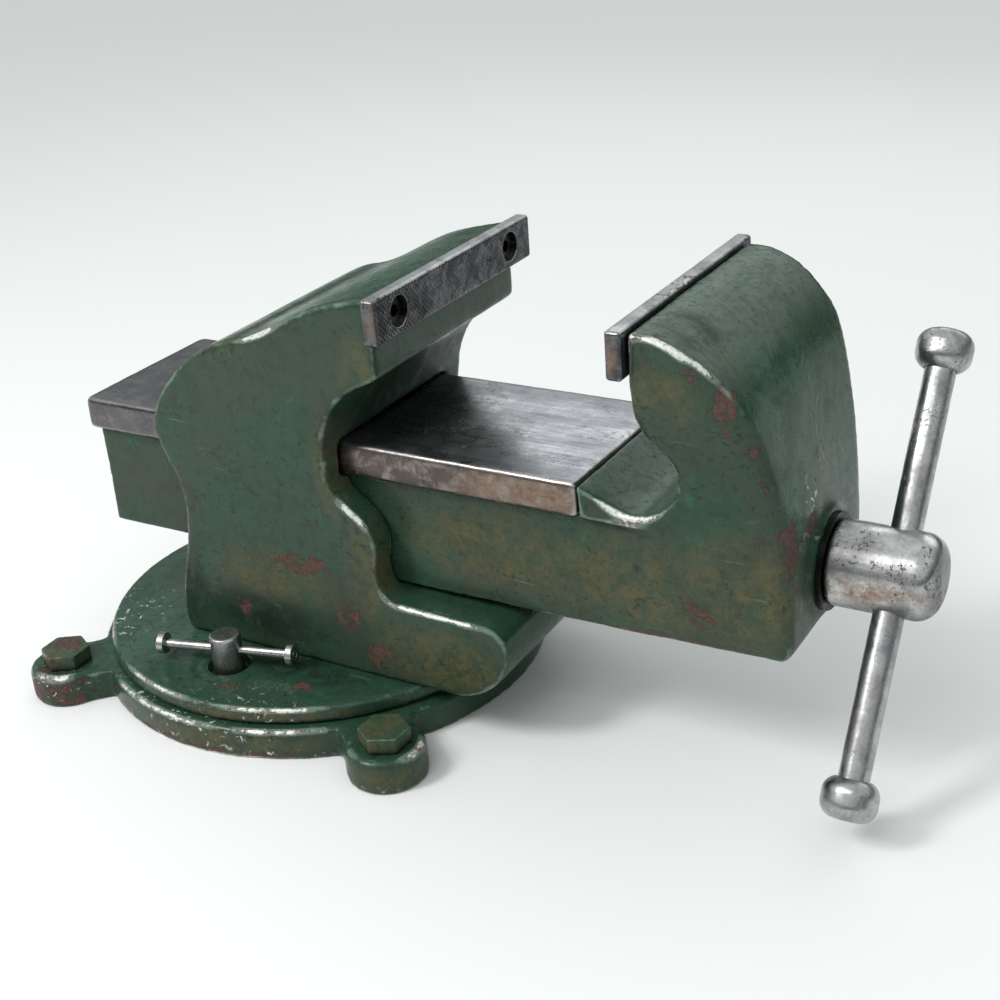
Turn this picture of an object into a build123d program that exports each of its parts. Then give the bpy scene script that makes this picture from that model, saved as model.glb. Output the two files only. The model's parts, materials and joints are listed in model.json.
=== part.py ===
from build123d import *
import os

# Swivel-base bench vise. Millimetres. The origin is the centre of the swivel base, on the bench top.
# +X runs along the screw towards the handle, +Z is up, and the vise is symmetric about Y = 0.

# Gaps
RUN_GAP = 0.3          # between pieces that slide or turn past each other
FIT_GAP = 0.05         # radial gap of a shaft in its hole, and of a fastener in its seat

# Jaw plates, which set the size of the vise
PLATE_W = 150.0
PLATE_T = 8.0
PLATE_Z0 = 220.4
PLATE_Z1 = 243.3
PLATE_EDGE = 1.2
REAR_GRIP_X = 110.5
OPENING = 118.0        # distance between the gripping faces at rest
FRONT_GRIP_X = REAR_GRIP_X + OPENING
PLATE_SCREW_Y = 53.5
PLATE_SCREW_Z = (PLATE_Z0 + PLATE_Z1) / 2
PLATE_SCREW_R = 4.0
PLATE_SCREW_HEAD_R = 7.6
PLATE_SCREW_HEAD_L = 3.5
PLATE_SCREW_SINK = 3.2
PLATE_SCREW_L = 22.0

# Screw and bolt heads
SOCKET_SHARE = 0.45        # socket's corner radius as a share of the head's radius
SOCKET_DEPTH_SHARE = 0.6   # socket's depth as a share of the head's height
HEX_CORNER_SHARE = 3 ** 0.5    # distance across flats divided by the corner radius
HEX_CORNER_BREAK = 0.7

# Swivel base and its four lugs
BASE_R = 129.3
BASE_TOP = 17.9
BASE_EDGE = 3.0
LUGS = 4
LUG_CIRCLE_R = 150.0
LUG_R = 21.5
LUG_TURN = 46.8        # degrees from +X to the first lug, with the base turned slightly under the vise
LUG_TOP = 19.5
LUG_EDGE = 4.5
LUG_NECK_HALF_W = 20.0
LUG_NECK_TOP = 17.6
LUG_SEAT_R = 16.0
LUG_SEAT_Z = 18.3
MOUNT_BOLT_R = 8.0
MOUNT_HEAD_AF = 24.0
MOUNT_HEAD_H = 9.0
MOUNT_BOLT_Z0 = 0.5
MOUNT_BOLT_TURNS = (6.0, 22.0, -15.0, 10.0)     # each bolt's hex stops where it was tightened

# Ring-shaped T-slot in the base, for the nuts of the two lock screws
SLOT_R = 86.0
SLOT_NECK_HALF_W = 7.0
SLOT_WIDE_HALF_W = 15.0
SLOT_FLOOR = 3.0
SLOT_SHOULDER = 10.0
SLOT_ENTRY_R = 14.0

# Turntable
TABLE_R = 123.8
TABLE_BOTTOM = BASE_TOP + RUN_GAP
TABLE_TOP = 27.7
TABLE_EDGE = 2.5

# Pivot bolt at the centre of the swivel
PIVOT_R = 10.0
PIVOT_HEAD_AF = 30.0
PIVOT_HEAD_Z0 = 1.0
PIVOT_HEAD_Z1 = 11.0
PIVOT_POCKET_R = 20.0
PIVOT_WASHER_R = 21.0
PIVOT_WASHER_T = 3.0
PIVOT_NUT_H = 15.0
PIVOT_TIP = 4.0

# Lock screws with sliding bars
LOCK_X = -3.0
LOCK_POST_R = 8.6
LOCK_POST_TOP = 46.5
LOCK_POST_EDGE = 1.2
LOCK_SHANK_R = 5.0
LOCK_SHANK_Z0 = 3.6
LOCK_HOLE_R = 5.5
LOCK_POCKET_R = 11.4
LOCK_POCKET_Z = 22.5
LOCK_NUT_SIZE = 22.0
LOCK_NUT_H = 6.0
LOCK_NUT_Z0 = SLOT_FLOOR + 2 * RUN_GAP
LOCK_BAR_R = 2.6
LOCK_BAR_Z = 37.0
LOCK_BAR_HALF_L = 40.0
LOCK_BAR_TURN = 14.0   # degrees that the bar stands off the X axis at rest
LOCK_CAP_R = 6.0
LOCK_CAP_T = 4.0

# Slide plate and hollow beam of the moving jaw
SLIDE_X0 = -111.0
SLIDE_X1 = 198.95
SLIDE_HALF_W = 51.85
SLIDE_Z0 = 137.2
SLIDE_Z1 = 156.1
SLIDE_EDGE = 2.0
BEAM_X0 = -108.5
BEAM_X1 = 225.0
BEAM_HALF_W = 46.5
BEAM_Z0 = 77.0
CHANNEL_HALF_W = 37.0
CHANNEL_TOP = 128.0
CHANNEL_X1 = 240.0
SLIDE_SCREW_R = 3.0
SLIDE_SCREW_HEAD_R = 5.0
SLIDE_SCREW_HEAD_H = 6.0
SLIDE_SCREW_TOP = 150.0
SLIDE_SCREW_Y = 28.0
SLIDE_SCREW_XS = (-90.0, 0.0, 90.0, 180.0)

# Fixed body
BODY_HALF_W = 65.0
BODY_JAW_HALF_W = 68.5
BODY_FLARE_Z0 = 120.0
BODY_FLARE_Z1 = 160.0
BODY_Z0 = TABLE_TOP
BODY_FRONT_X = REAR_GRIP_X - PLATE_T
BODY_TOP = 241.5
LEDGE_TOP = 75.0
BODY_FLOOR = BEAM_Z0 - 2 * RUN_GAP     # floor of the tunnel that the beam slides in
CAVITY_X0 = -32.0
CAVITY_X1 = 76.0
CAVITY_HALF_W = 46.0
CAVITY_TOP = 60.0
TABLE_SCREW_R = 5.0
TABLE_SCREW_HEAD_R = 8.5
TABLE_SCREW_TOP = 48.0
TABLE_SOCKET_R = 2.8
TABLE_SOCKET_DEPTH = 2.4
TABLE_SCREW_XY = ((-20.0, 55.5), (58.0, 55.5), (98.0, 30.0))

# Front jaw
HEAD_X0 = 199.0
HEAD_FRONT_X = FRONT_GRIP_X + PLATE_T
HEAD_TOP = 241.5
HEAD_BACK_X = 305.0
HEAD_TOP_HALF_W = 70.0
HEAD_MID_HALF_W = 52.3
FLARE_X0 = 208.0
FLARE_X1 = 262.0
NOTCH_X = 228.0
NOTCH_Z = 168.0
NOTCH_R = 23.8
BOSS_R = 27.0
BOSS_X1 = 306.5

# Lead screw, its nut, and the handle
SCREW_Z = 112.0
SCREW_R = 14.0
SCREW_PITCH = 6.0
SCREW_X0 = -60.0
SCREW_TIP_EDGE = 2.0
THREAD_X1 = 204.0
THREAD_DEPTH = 3.0
THREAD_ROOT_W = 2.0
THREAD_TOP_W = 3.6
WASHER_R = 24.0
WASHER_T = 2.2
HUB_R = 21.0
HUB_X0 = BOSS_X1 + WASHER_T + RUN_GAP
HUB_X1 = 359.5
HUB_END_R = 11.0
HUB_BACK_EDGE = 1.0
BUSH_R = 19.0
BUSH_X0 = 262.0
COLLAR_R = 20.0
COLLAR_T = 13.0
COLLAR_POCKET_L = 18.0
COLLAR_POCKET_TOP = 133.5
COLLAR_PIN_R = 3.0
NUT_X0 = 4.0
NUT_X1 = 46.0
NUT_HALF_W = 19.0
NUT_TOP = 127.0
NUT_EDGE = 6.0
NUT_FOOT_HALF_W = 34.0
NUT_FOOT_TOP = 89.0
NUT_BOLT_R = 4.0
NUT_BOLT_HEAD_R = 6.5
NUT_BOLT_HEAD_H = 5.0
NUT_BOLT_Y = 27.0
NUT_BOLT_XS = (13.0, 37.0)
NUT_BOLT_DEPTH = 11.0
HANDLE_X = 338.0
HANDLE_R = 7.5
HANDLE_TILT = 35.0     # degrees from upright, with the top end towards +Y
KNOB_R = 13.5
KNOB_L = 20.0
KNOB_EDGE = 8.0
KNOB_CENTRE = 106.6    # distance of a knob's centre from the screw axis

THROUGH = 400.0        # longer than any through cut
SIDES = {"near": -1, "far": 1}


def disc(radius, z0, z1, x=0.0, y=0.0):
    """Upright cylinder from z0 to z1."""
    return Pos(x, y, (z0 + z1) / 2) * Cylinder(radius, z1 - z0)


def rod_x(radius, x0, x1, y=0.0, z=SCREW_Z):
    """Cylinder along X from x0 to x1."""
    return Pos((x0 + x1) / 2, y, z) * Rot(0, 90, 0) * Cylinder(radius, x1 - x0)


def block(x0, x1, half_w, z0, z1):
    """Box from x0 to x1 and z0 to z1, centred on Y = 0."""
    return Pos((x0 + x1) / 2, 0, (z0 + z1) / 2) * Box(x1 - x0, 2 * half_w, z1 - z0)


def ring(radius, half_w, z0, z1):
    """Upright ring whose wall is centred on a radius."""
    return disc(radius + half_w, z0, z1) - disc(radius - half_w, z0, z1)


def side_solid(outline, half_w):
    """Solid from a closed outline in X and Z, centred on Y = 0."""
    return extrude(Plane.XZ * make_face(outline), amount=half_w, both=True)


def hexagon(across_flats, z0, z1):
    """Upright hexagonal prism on the Z axis, with its top corners broken."""
    face = RegularPolygon(across_flats / 2, 6, major_radius=False)
    prism = extrude(Pos(0, 0, z0) * face, amount=z1 - z0)
    blank = disc(across_flats / HEX_CORNER_SHARE, z0, z1)
    return prism & chamfer(blank.edges().group_by(Axis.Z)[-1], HEX_CORNER_BREAK)


def cap_screw(radius, head_r, head_h, length):
    """Socket cap screw pointing down, with the underside of its head at z = 0."""
    screw = disc(head_r, 0, head_h) + disc(radius, -length, 0)
    key = RegularPolygon(head_r * SOCKET_SHARE, 6)
    return screw - extrude(Pos(0, 0, head_h) * key, amount=-head_h * SOCKET_DEPTH_SHARE)


def swivel_base():
    """Round flange with four lugs, a ring-shaped T-slot, and a pocket for the pivot bolt's head."""
    base = disc(BASE_R, 0, BASE_TOP)
    base = fillet(base.edges().group_by(Axis.Z)[-1], BASE_EDGE)
    lug = disc(LUG_R, 0, LUG_TOP)
    lug = fillet(lug.edges().group_by(Axis.Z)[-1], LUG_EDGE)
    neck_l = LUG_CIRCLE_R - BASE_R + LUG_R
    neck = Pos(-neck_l / 2, 0, LUG_NECK_TOP / 2) * Box(neck_l, 2 * LUG_NECK_HALF_W, LUG_NECK_TOP)
    for place in PolarLocations(LUG_CIRCLE_R, LUGS, start_angle=LUG_TURN):
        base += place * (lug + neck)
    for place in PolarLocations(LUG_CIRCLE_R, LUGS, start_angle=LUG_TURN):
        base -= place * disc(LUG_SEAT_R, LUG_SEAT_Z, LUG_TOP)
        base -= place * disc(MOUNT_BOLT_R + FIT_GAP, 0, LUG_TOP)
    base -= ring(SLOT_R, SLOT_NECK_HALF_W, SLOT_FLOOR, BASE_TOP)
    base -= ring(SLOT_R, SLOT_WIDE_HALF_W, SLOT_FLOOR, SLOT_SHOULDER)
    base -= disc(SLOT_ENTRY_R, 0, SLOT_FLOOR, x=-SLOT_R)
    base -= disc(PIVOT_POCKET_R, 0, PIVOT_HEAD_Z1)
    base -= disc(PIVOT_R + FIT_GAP, 0, BASE_TOP)
    return base


def mounting_bolts():
    """Four hex bolts in the lugs. Their shanks stop inside the lugs, as on a vise that isn't bolted down."""
    bolt = hexagon(MOUNT_HEAD_AF, LUG_SEAT_Z, LUG_SEAT_Z + MOUNT_HEAD_H)
    bolt += disc(MOUNT_BOLT_R, MOUNT_BOLT_Z0, LUG_SEAT_Z)
    places = PolarLocations(LUG_CIRCLE_R, LUGS, start_angle=LUG_TURN)
    return [place * Rot(0, 0, turn) * bolt for place, turn in zip(places, MOUNT_BOLT_TURNS)]


def pivot_bolt():
    """Hex bolt from below the base, up through the turntable."""
    bolt = hexagon(PIVOT_HEAD_AF, PIVOT_HEAD_Z0, PIVOT_HEAD_Z1)
    tip = TABLE_TOP + RUN_GAP + PIVOT_WASHER_T + PIVOT_NUT_H + PIVOT_TIP
    return bolt + disc(PIVOT_R, PIVOT_HEAD_Z1, tip)


def pivot_washer():
    low = TABLE_TOP + RUN_GAP
    return disc(PIVOT_WASHER_R, low, low + PIVOT_WASHER_T) - disc(PIVOT_R + FIT_GAP, low, low + PIVOT_WASHER_T)


def pivot_nut():
    low = TABLE_TOP + RUN_GAP + PIVOT_WASHER_T
    return hexagon(PIVOT_HEAD_AF, low, low + PIVOT_NUT_H) - disc(PIVOT_R + FIT_GAP, low, low + PIVOT_NUT_H)


def table_screw_places():
    """The six screws that hold the body on the turntable."""
    return [Pos(x, side * y, 0) for x, y in TABLE_SCREW_XY for side in SIDES.values()]


def lock_places():
    return {name: Pos(LOCK_X, side * SLOT_R, 0) for name, side in SIDES.items()}


def turntable():
    """Round plate that turns on the base and carries the body."""
    table = disc(TABLE_R, TABLE_BOTTOM, TABLE_TOP)
    table = fillet(table.edges().group_by(Axis.Z)[-1], TABLE_EDGE)
    table -= disc(PIVOT_R + FIT_GAP, TABLE_BOTTOM, TABLE_TOP)
    for place in lock_places().values():
        table -= place * disc(LOCK_POCKET_R, LOCK_POCKET_Z, TABLE_TOP)
        table -= place * disc(LOCK_HOLE_R, TABLE_BOTTOM, TABLE_TOP)
    for place in table_screw_places():
        table -= place * disc(TABLE_SCREW_R + FIT_GAP, TABLE_BOTTOM, TABLE_TOP)
        table -= place * countersink()
    return table


def countersink(gap=FIT_GAP):
    """Conical seat of a table screw, widest at the underside of the turntable."""
    depth = TABLE_SCREW_HEAD_R - TABLE_SCREW_R
    cone = Cone(TABLE_SCREW_HEAD_R + gap, TABLE_SCREW_R + gap, depth)
    return Pos(0, 0, TABLE_BOTTOM + depth / 2) * cone


def turntable_screws():
    screw = countersink(gap=0.0) + disc(TABLE_SCREW_R, TABLE_BOTTOM, TABLE_SCREW_TOP)
    key = RegularPolygon(TABLE_SOCKET_R, 6)
    screw -= extrude(Pos(0, 0, TABLE_BOTTOM) * key, amount=TABLE_SOCKET_DEPTH)
    return [place * screw for place in table_screw_places()]


def lock_nut():
    """Square nut in the T-slot, which the lock screw pulls up."""
    size = LOCK_NUT_SIZE
    nut = Pos(0, 0, LOCK_NUT_Z0 + LOCK_NUT_H / 2) * Box(size, size, LOCK_NUT_H)
    return nut - disc(LOCK_SHANK_R + FIT_GAP, LOCK_NUT_Z0, LOCK_NUT_Z0 + LOCK_NUT_H)


def lock_frame(place):
    """Frame on the lock screw's axis, with X along the bar."""
    return place * Pos(0, 0, LOCK_BAR_Z) * Rot(0, 0, LOCK_BAR_TURN)


def bar_solid(radius, half_l):
    return Rot(0, 90, 0) * Cylinder(radius, 2 * half_l)


def lock_screw(place):
    """Post with a cross hole, on a shank that reaches the nut in the T-slot."""
    low = LOCK_POCKET_Z + RUN_GAP
    post = disc(LOCK_POST_R, low, LOCK_POST_TOP)
    post = fillet(post.edges().group_by(Axis.Z)[-1], LOCK_POST_EDGE)
    screw = place * (post + disc(LOCK_SHANK_R, LOCK_SHANK_Z0, low))
    return screw - lock_frame(place) * bar_solid(LOCK_BAR_R + FIT_GAP, 2 * LOCK_POST_R)


def lock_bar(place):
    return lock_frame(place) * bar_solid(LOCK_BAR_R, LOCK_BAR_HALF_L)


def lock_bar_caps(place):
    """Disc pressed on each end of the bar."""
    cap = bar_solid(LOCK_CAP_R, LOCK_CAP_T / 2) - bar_solid(LOCK_BAR_R + FIT_GAP, LOCK_CAP_T)
    offset = LOCK_BAR_HALF_L - LOCK_CAP_T / 2
    return [lock_frame(place) * Pos(side * offset, 0, 0) * cap for side in (-1, 1)]


def body_outline():
    """Outline of the fixed body in X and Z, clockwise from its rear foot."""
    foot = (-49.0, BODY_Z0)
    hump = (12.0, 210.0)
    crown = (68.5, 233.5)
    top_corner = (BODY_FRONT_X, BODY_TOP)
    chin = (BODY_FRONT_X, 201.0)
    throat = (64.5, 148.0)
    ledge_root = (95.0, LEDGE_TOP)
    toe_top = (150.0, LEDGE_TOP - 2)
    sole = (122.0, BODY_Z0)
    outline = Spline(foot, (-48.5, 54.0), (-39.5, 88.0), (-38.5, 122.0), (-47.0, 152.0), (-35.5, 177.5), hump)
    outline += Spline(hump, (38.0, 219.0), crown, (81.0, 237.0), top_corner)
    outline += Line(top_corner, chin)
    outline += Spline(chin, (98.5, 198.3), (91.5, 195.0), (79.5, 187.0), (67.5, 168.5), throat)
    outline += Spline(throat, (68.0, 131.0), (82.0, 119.0), (88.0, 106.0), (86.5, 88.0), ledge_root)
    outline += Line(ledge_root, toe_top)
    outline += Spline(toe_top, (160.5, 66.0), (160.0, 50.0), (147.0, 34.0), sole)
    outline += Line(sole, foot)
    return outline


def body_front():
    """Fixed body seen along the screw: a little wider at the jaw than at the foot."""
    half = [(BODY_HALF_W, BODY_Z0), (BODY_HALF_W, BODY_FLARE_Z0)]
    half += [(BODY_JAW_HALF_W, BODY_FLARE_Z1), (BODY_JAW_HALF_W, BODY_TOP)]
    mirrored = [(-y, z) for y, z in reversed(half)]
    return Plane.YZ * make_face(Polyline(*half, *mirrored, close=True))


def plate_screw_places(direction):
    """Frames at the two screws of a jaw plate, with Z pointing into the casting along direction."""
    turn = Rot(0, 90 * direction, 0)
    return [Pos(0, side * PLATE_SCREW_Y, PLATE_SCREW_Z) * turn for side in SIDES.values()]


def plate_screw_holes(grip_x, direction, radius, head_r):
    """Stepped holes from a gripping face inwards."""
    sink = PLATE_SCREW_SINK + PLATE_SCREW_HEAD_L
    hole = disc(head_r, 0, sink) + disc(radius, sink, PLATE_SCREW_SINK + PLATE_SCREW_L)
    return [Pos(grip_x, 0, 0) * place * hole for place in plate_screw_places(direction)]


def plate_screws(grip_x, direction):
    """Two socket screws whose heads lie below the gripping face."""
    shank_l = PLATE_SCREW_L - PLATE_SCREW_HEAD_L
    screw = cap_screw(PLATE_SCREW_R, PLATE_SCREW_HEAD_R, PLATE_SCREW_HEAD_L, shank_l)
    seated = Pos(0, 0, PLATE_SCREW_SINK + PLATE_SCREW_HEAD_L) * Rot(180, 0, 0) * screw
    return [Pos(grip_x, 0, 0) * place * seated for place in plate_screw_places(direction)]


def jaw_plate(grip_x, direction):
    """Steel plate with two counterbored holes. direction points from the gripping face into the casting."""
    x0, x1 = sorted((grip_x, grip_x + direction * PLATE_T))
    plate = block(x0, x1, PLATE_W / 2, PLATE_Z0, PLATE_Z1)
    plate = chamfer(plate.edges(), PLATE_EDGE)
    for hole in plate_screw_holes(grip_x, direction, PLATE_SCREW_R + FIT_GAP, PLATE_SCREW_HEAD_R + FIT_GAP):
        plate -= hole
    return plate


def fixed_body():
    """Casting of the rear jaw, with a tunnel for the slide plate and beam and a cavity over the pivot."""
    body = side_solid(body_outline(), BODY_JAW_HALF_W)
    body &= extrude(body_front(), amount=THROUGH, both=True)
    body -= block(-THROUGH, THROUGH, BEAM_HALF_W + RUN_GAP, BODY_FLOOR, SLIDE_Z0)
    body -= block(-THROUGH, THROUGH, SLIDE_HALF_W + 2 * RUN_GAP, SLIDE_Z0 - 2 * RUN_GAP, SLIDE_Z1 + RUN_GAP)
    body -= block(CAVITY_X0, CAVITY_X1, CAVITY_HALF_W, BODY_Z0, CAVITY_TOP)
    for hole in plate_screw_holes(REAR_GRIP_X, -1, PLATE_SCREW_R + FIT_GAP, PLATE_SCREW_R + FIT_GAP):
        body -= hole
    for place in table_screw_places():
        body -= place * disc(TABLE_SCREW_R + FIT_GAP, BODY_Z0, TABLE_SCREW_TOP)
    for place in nut_bolt_places():
        body -= place * disc(NUT_BOLT_R + FIT_GAP, BODY_FLOOR - NUT_BOLT_DEPTH, BODY_FLOOR)
    return body


def nut_bolt_places():
    return [Pos(x, side * NUT_BOLT_Y, 0) for x in NUT_BOLT_XS for side in SIDES.values()]


def lead_nut():
    """Nut on a foot, standing on the body's floor inside the hollow beam."""
    nut = block(NUT_X0, NUT_X1, NUT_HALF_W, BODY_FLOOR, NUT_TOP)
    nut = chamfer(nut.edges().filter_by(Axis.X).group_by(Axis.Z)[-1], NUT_EDGE)
    nut += block(NUT_X0, NUT_X1, NUT_FOOT_HALF_W, BODY_FLOOR, NUT_FOOT_TOP)
    nut -= rod_x(SCREW_R + FIT_GAP, NUT_X0, NUT_X1)
    for place in nut_bolt_places():
        nut -= place * disc(NUT_BOLT_R + FIT_GAP, BODY_FLOOR, NUT_FOOT_TOP)
    return nut


def lead_nut_bolts():
    length = NUT_FOOT_TOP - BODY_FLOOR + NUT_BOLT_DEPTH
    bolt = Pos(0, 0, NUT_FOOT_TOP) * cap_screw(NUT_BOLT_R, NUT_BOLT_HEAD_R, NUT_BOLT_HEAD_H, length)
    return [place * bolt for place in nut_bolt_places()]


def head_side():
    """Front jaw seen from the side: notch behind the slide plate, upright face, and rounded back."""
    lip = (HEAD_X0, 155.5)
    notch_floor = (NOTCH_X, NOTCH_Z - NOTCH_R)
    notch_back = (NOTCH_X + NOTCH_R, NOTCH_Z)
    notch_top = (HEAD_FRONT_X + 2.5, 190.5)
    chin = (HEAD_FRONT_X, 206.0)
    top_front = (HEAD_FRONT_X, HEAD_TOP)
    top_back = (247.0, HEAD_TOP - 0.5)
    heel = (HEAD_BACK_X, 104.0)
    heel_foot = (HEAD_BACK_X, 85.0)
    sole = (HEAD_BACK_X - 4, BEAM_Z0 + 2.5)
    toe = (HEAD_X0, BEAM_Z0)
    outline = Line(toe, lip)
    outline += Spline(lip, (210.0, 150.0), notch_floor, (244.0, 151.0), notch_back)
    outline += Spline(notch_back, (248.5, 180.0), notch_top, (HEAD_FRONT_X + 0.3, 198.0), chin)
    outline += Line(chin, top_front)
    outline += Line(top_front, top_back)
    outline += Spline(top_back, (270.0, 230.0), (286.0, 212.0), (296.0, 184.0), (303.0, 145.0), heel)
    outline += Line(heel, heel_foot)
    outline += Line(heel_foot, sole)
    outline += Line(sole, toe)
    return outline


def head_front():
    """Front jaw seen along the screw: as wide as the beam below, and flaring to the jaw plate."""
    half = [
        (BEAM_HALF_W, BEAM_Z0),
        (HEAD_MID_HALF_W - 1.5, BEAM_Z0 + 18),
        (HEAD_MID_HALF_W, BEAM_Z0 + 34),
        (HEAD_MID_HALF_W, 148.0),
        (HEAD_MID_HALF_W + 3, 168.0),
        (HEAD_MID_HALF_W + 8, 188.0),
        (HEAD_TOP_HALF_W - 2.5, 206.0),
        (HEAD_TOP_HALF_W, 218.0),
        (HEAD_TOP_HALF_W, HEAD_TOP),
    ]
    mirrored = [(-y, z) for y, z in reversed(half)]
    return Plane.YZ * make_face(Polyline(*half, *mirrored, close=True))


def head_plan():
    """Front jaw seen from above: its back corners are cut back towards the hub."""
    shoulder = (258.0, HEAD_TOP_HALF_W + 1)
    corner = (285.0, 64.0)
    back = (HEAD_BACK_X + 1, 46.0)
    half = [(HEAD_X0, HEAD_TOP_HALF_W + 1), shoulder, corner, back]
    mirrored = [(x, -y) for x, y in reversed(half)]
    return make_face(Polyline(*half, *mirrored, close=True))


def flare_cut(side):
    """Wedge that narrows the front jaw to the beam's width below the slide plate."""
    inner = side * BEAM_HALF_W
    outer = side * HEAD_TOP_HALF_W
    points = [(HEAD_X0 - 1, inner), (FLARE_X0, inner), (FLARE_X1, side * (HEAD_MID_HALF_W + 0.1))]
    points += [(FLARE_X1, outer), (HEAD_X0 - 1, outer)]
    return extrude(Pos(0, 0, BEAM_Z0) * make_face(Polyline(*points, close=True)), amount=SLIDE_Z0 - BEAM_Z0)


def moving_jaw():
    """Front jaw and its hollow beam, one casting, open below for the nut."""
    head = side_solid(head_side(), HEAD_TOP_HALF_W + 2)
    head &= extrude(head_front(), amount=THROUGH)
    head &= extrude(head_plan(), amount=THROUGH)
    for side in SIDES.values():
        head -= flare_cut(side)
    jaw = head + block(BEAM_X0, BEAM_X1, BEAM_HALF_W, BEAM_Z0, SLIDE_Z0)
    jaw += rod_x(BOSS_R, HEAD_BACK_X - 30, BOSS_X1)
    jaw -= block(BEAM_X0, CHANNEL_X1, CHANNEL_HALF_W, BEAM_Z0, CHANNEL_TOP)
    jaw -= block(CHANNEL_X1 - COLLAR_POCKET_L, CHANNEL_X1, COLLAR_R + 2, BEAM_Z0, COLLAR_POCKET_TOP)
    jaw -= rod_x(BUSH_R + FIT_GAP, BUSH_X0, BOSS_X1)
    jaw -= rod_x(SCREW_R + 2, CHANNEL_X1, BUSH_X0)
    for hole in plate_screw_holes(FRONT_GRIP_X, 1, PLATE_SCREW_R + FIT_GAP, PLATE_SCREW_R + FIT_GAP):
        jaw -= hole
    for place in slide_screw_places():
        jaw -= place * disc(SLIDE_SCREW_R + FIT_GAP, CHANNEL_TOP, SLIDE_Z0)
    return jaw


def slide_screw_places():
    return [Pos(x, side * SLIDE_SCREW_Y, 0) for x in SLIDE_SCREW_XS for side in SIDES.values()]


def slide_plate():
    """Flat steel way on top of the beam."""
    plate = block(SLIDE_X0, SLIDE_X1, SLIDE_HALF_W, SLIDE_Z0, SLIDE_Z1)
    plate = fillet(plate.edges().group_by(Axis.Z)[-1] + plate.edges().filter_by(Axis.Z), SLIDE_EDGE)
    for place in slide_screw_places():
        plate -= place * disc(SLIDE_SCREW_R + FIT_GAP, SLIDE_Z0, SLIDE_SCREW_TOP)
    return plate


def slide_plate_screws():
    """Cap screws from inside the beam up into the slide plate."""
    length = SLIDE_SCREW_TOP - CHANNEL_TOP
    screw = cap_screw(SLIDE_SCREW_R, SLIDE_SCREW_HEAD_R, SLIDE_SCREW_HEAD_H, length)
    seated = Pos(0, 0, CHANNEL_TOP) * Rot(180, 0, 0) * screw
    return [place * seated for place in slide_screw_places()]


def handle_frame():
    """Frame at the crossing of the screw axis and the handle, with Z along the handle."""
    return Pos(HANDLE_X, 0, SCREW_Z) * Rot(-HANDLE_TILT, 0, 0)


def thread_groove(x):
    """Ring cut to thread depth, wider at the crest than at the root."""
    root_r = SCREW_R - THREAD_DEPTH
    points = [
        (-THREAD_ROOT_W / 2, root_r),
        (THREAD_ROOT_W / 2, root_r),
        (THREAD_TOP_W / 2, SCREW_R + 1),
        (-THREAD_TOP_W / 2, SCREW_R + 1),
    ]
    face = Plane.XZ * make_face(Polyline(*points, close=True))
    return Pos(x, 0, SCREW_Z) * revolve(face, Axis.X)


def lead_screw():
    """Threaded screw with the round hub that the handle passes through."""
    screw = rod_x(SCREW_R, SCREW_X0, HUB_X0)
    screw = chamfer(screw.edges().group_by(Axis.X)[0], SCREW_TIP_EDGE)
    groove = SCREW_X0 + SCREW_PITCH
    while groove < THREAD_X1:
        screw -= thread_groove(groove)
        groove += SCREW_PITCH
    hub = rod_x(HUB_R, HUB_X0, HUB_X1)
    hub = fillet(hub.edges().group_by(Axis.X)[-1], HUB_END_R)
    hub = chamfer(hub.edges().group_by(Axis.X)[0], HUB_BACK_EDGE)
    screw += hub
    screw -= handle_frame() * Cylinder(HANDLE_R + FIT_GAP, 3 * HUB_R)
    screw -= collar_pin_solid(COLLAR_PIN_R + FIT_GAP)
    return screw


def collar_x():
    """Middle of the collar, which sits just inside the beam's front wall."""
    return CHANNEL_X1 - RUN_GAP - COLLAR_T / 2


def collar_pin_solid(radius):
    return Pos(collar_x(), 0, SCREW_Z) * Cylinder(radius, 2 * COLLAR_R - 2)


def screw_collar():
    """Collar that keeps the screw in the jaw."""
    middle = collar_x()
    collar = rod_x(COLLAR_R, middle - COLLAR_T / 2, middle + COLLAR_T / 2)
    collar -= rod_x(SCREW_R + FIT_GAP, middle - COLLAR_T, middle + COLLAR_T)
    return collar - collar_pin_solid(COLLAR_PIN_R + FIT_GAP)


def screw_bush():
    """Bronze bush pressed in the jaw."""
    return rod_x(BUSH_R, BUSH_X0, BOSS_X1) - rod_x(SCREW_R + FIT_GAP, BUSH_X0, BOSS_X1)


def thrust_washer():
    bore = rod_x(SCREW_R + FIT_GAP, BOSS_X1, BOSS_X1 + WASHER_T)
    return rod_x(WASHER_R, BOSS_X1, BOSS_X1 + WASHER_T) - bore


def handle_bar():
    return handle_frame() * Cylinder(HANDLE_R, 2 * KNOB_CENTRE)


def handle_knob(end):
    """Barrel-shaped knob with a blind bore, on one end of the bar."""
    knob = Cylinder(KNOB_R, KNOB_L)
    knob = fillet(knob.edges().filter_by(GeomType.CIRCLE), KNOB_EDGE)
    bore = Pos(0, 0, -end * KNOB_L / 2) * Cylinder(HANDLE_R + FIT_GAP, KNOB_L)
    return handle_frame() * Pos(0, 0, end * KNOB_CENTRE) * (knob - bore)


def save(name, solids):
    """Write one piece, or a group of like pieces, under its name."""
    group = solids if isinstance(solids, list) else [solids]
    export_step(Compound([solid.solid() for solid in group]), f"parts/{name}.step")


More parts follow.
